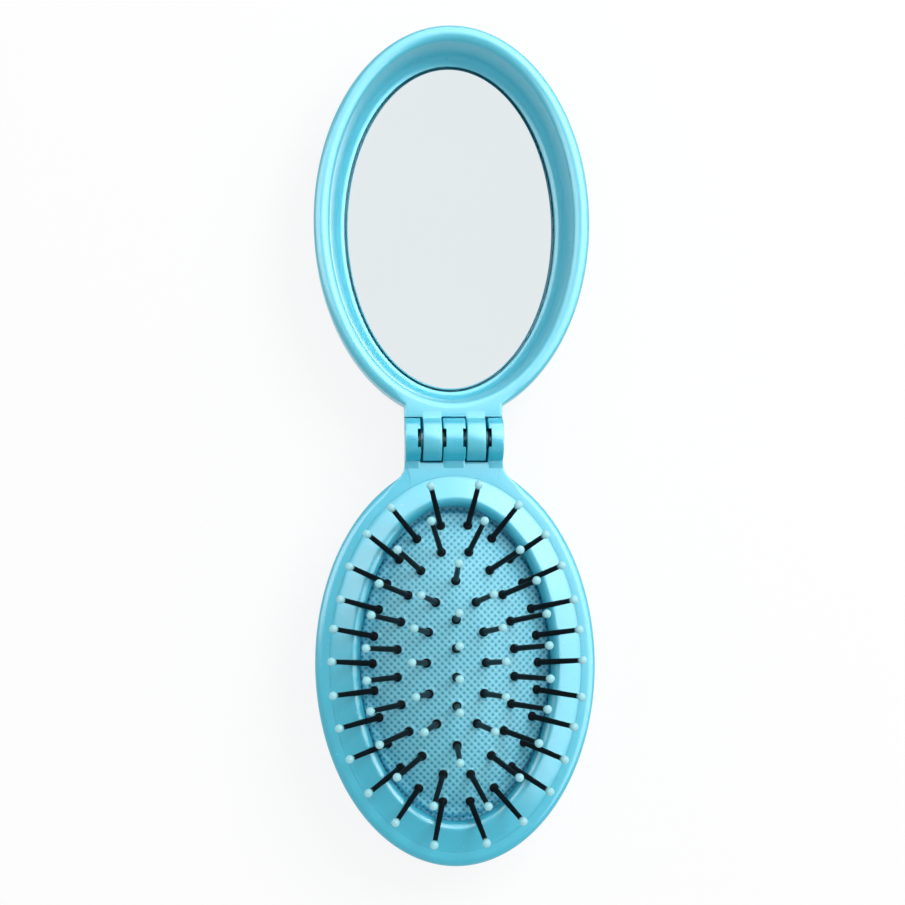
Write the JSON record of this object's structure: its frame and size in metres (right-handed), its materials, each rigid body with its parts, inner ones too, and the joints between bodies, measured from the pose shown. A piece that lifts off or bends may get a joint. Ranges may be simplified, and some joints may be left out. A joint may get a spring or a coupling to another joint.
{
  "type": "folding hairbrush with mirror",
  "caption": "Oval pop-up pin brush with a rubber cushion, hinged to an oval lid that holds a mirror and shuts over the pins.",
  "frame": {"origin": "on the table under the hinge axis, midway across the brush, with the brush open on its two flat backs", "axes": "+X across the brush, +Y from the hinge to the lid, +Z the way the pins stand"},
  "size_m": [0.0626, 0.19, 0.0367],
  "materials": {
    "casing": "glossy aqua ABS",
    "frame": "glossy aqua ABS",
    "lid": "glossy aqua ABS",
    "pad": "soft aqua rubber, dimpled",
    "pin": "black nylon",
    "ball": "pale aqua epoxy",
    "glass": "silvered glass",
    "tape": "white foam tape",
    "steel": "plain steel wire",
    "button": "glossy aqua ABS",
    "pusher": "natural moulded plastic"
  },
  "bodies": {
    "brush": {"back_shell": "casing", "pad_frame": "frame", "pad": "pad", "hinge_pin": "steel"},
    "lid": {"lid_shell": "lid", "mirror": "glass", "mirror_tape": "tape"},
    "island": {"pins_inner": "pin", "balls_inner": "ball", "pins_middle": "pin", "balls_middle": "ball", "pusher": "pusher", "pop_button": "button"},
    "petal_right": {"pins_right": "pin", "balls_right": "ball"},
    "petal_near_right": {"pins_near_right": "pin", "balls_near_right": "ball"},
    "petal_near": {"pins_near": "pin", "balls_near": "ball"},
    "petal_near_left": {"pins_near_left": "pin", "balls_near_left": "ball"},
    "petal_left": {"pins_left": "pin", "balls_left": "ball"},
    "petal_far_left": {"pins_far_left": "pin", "balls_far_left": "ball"},
    "petal_far": {"pins_far": "pin", "balls_far": "ball"},
    "petal_far_right": {"pins_far_right": "pin", "balls_far_right": "ball"}
  },
  "joints": [
    {"name": "lid_hinge", "type": "hinge", "parent": "brush", "child": "lid", "pos_m": [0, 0, 0.01815], "axis": [1, 0, 0], "range_deg": [0, 180]},
    {"name": "island_slide", "type": "slide", "parent": "brush", "child": "island", "axis": [0, 0, -1], "range_m": [0, 0.0074], "deforming": ["pad"]},
    {"name": "petal_right_turn", "type": "hinge", "parent": "brush", "child": "petal_right", "pos_m": [0.022, -0.05, 0.01349], "axis": [0, -1, 0], "range_deg": [0, 29]},
    {"name": "petal_near_right_turn", "type": "hinge", "parent": "brush", "child": "petal_near_right", "pos_m": [0.01546, -0.0256, 0.01349], "axis": [0.5446, -0.8387, 0], "range_deg": [0, 29]},
    {"name": "petal_near_turn", "type": "hinge", "parent": "brush", "child": "petal_near", "pos_m": [0, -0.0157, 0.01349], "axis": [1, 0, 0], "range_deg": [0, 29]},
    {"name": "petal_near_left_turn", "type": "hinge", "parent": "brush", "child": "petal_near_left", "pos_m": [-0.01546, -0.0256, 0.01349], "axis": [0.5446, 0.8387, 0], "range_deg": [0, 29]},
    {"name": "petal_left_turn", "type": "hinge", "parent": "brush", "child": "petal_left", "pos_m": [-0.022, -0.05, 0.01349], "axis": [0, 1, 0], "range_deg": [0, 29]},
    {"name": "petal_far_left_turn", "type": "hinge", "parent": "brush", "child": "petal_far_left", "pos_m": [-0.01546, -0.0744, 0.01349], "axis": [-0.5446, 0.8387, 0], "range_deg": [0, 29]},
    {"name": "petal_far_turn", "type": "hinge", "parent": "brush", "child": "petal_far", "pos_m": [0, -0.0843, 0.01349], "axis": [-1, 0, 0], "range_deg": [0, 29]},
    {"name": "petal_far_right_turn", "type": "hinge", "parent": "brush", "child": "petal_far_right", "pos_m": [0.01546, -0.0744, 0.01349], "axis": [-0.5446, -0.8387, 0], "range_deg": [0, 29]}
  ],
  "couplings": [
    {"joint": "island_slide", "follows": "lid_hinge", "m_per_rad": 0.0023554},
    {"joint": "petal_right_turn", "follows": "lid_hinge", "ratio": 0.16111},
    {"joint": "petal_near_right_turn", "follows": "lid_hinge", "ratio": 0.16111},
    {"joint": "petal_near_turn", "follows": "lid_hinge", "ratio": 0.16111},
    {"joint": "petal_near_left_turn", "follows": "lid_hinge", "ratio": 0.16111},
    {"joint": "petal_left_turn", "follows": "lid_hinge", "ratio": 0.16111},
    {"joint": "petal_far_left_turn", "follows": "lid_hinge", "ratio": 0.16111},
    {"joint": "petal_far_turn", "follows": "lid_hinge", "ratio": 0.16111},
    {"joint": "petal_far_right_turn", "follows": "lid_hinge", "ratio": 0.16111}
  ]
}
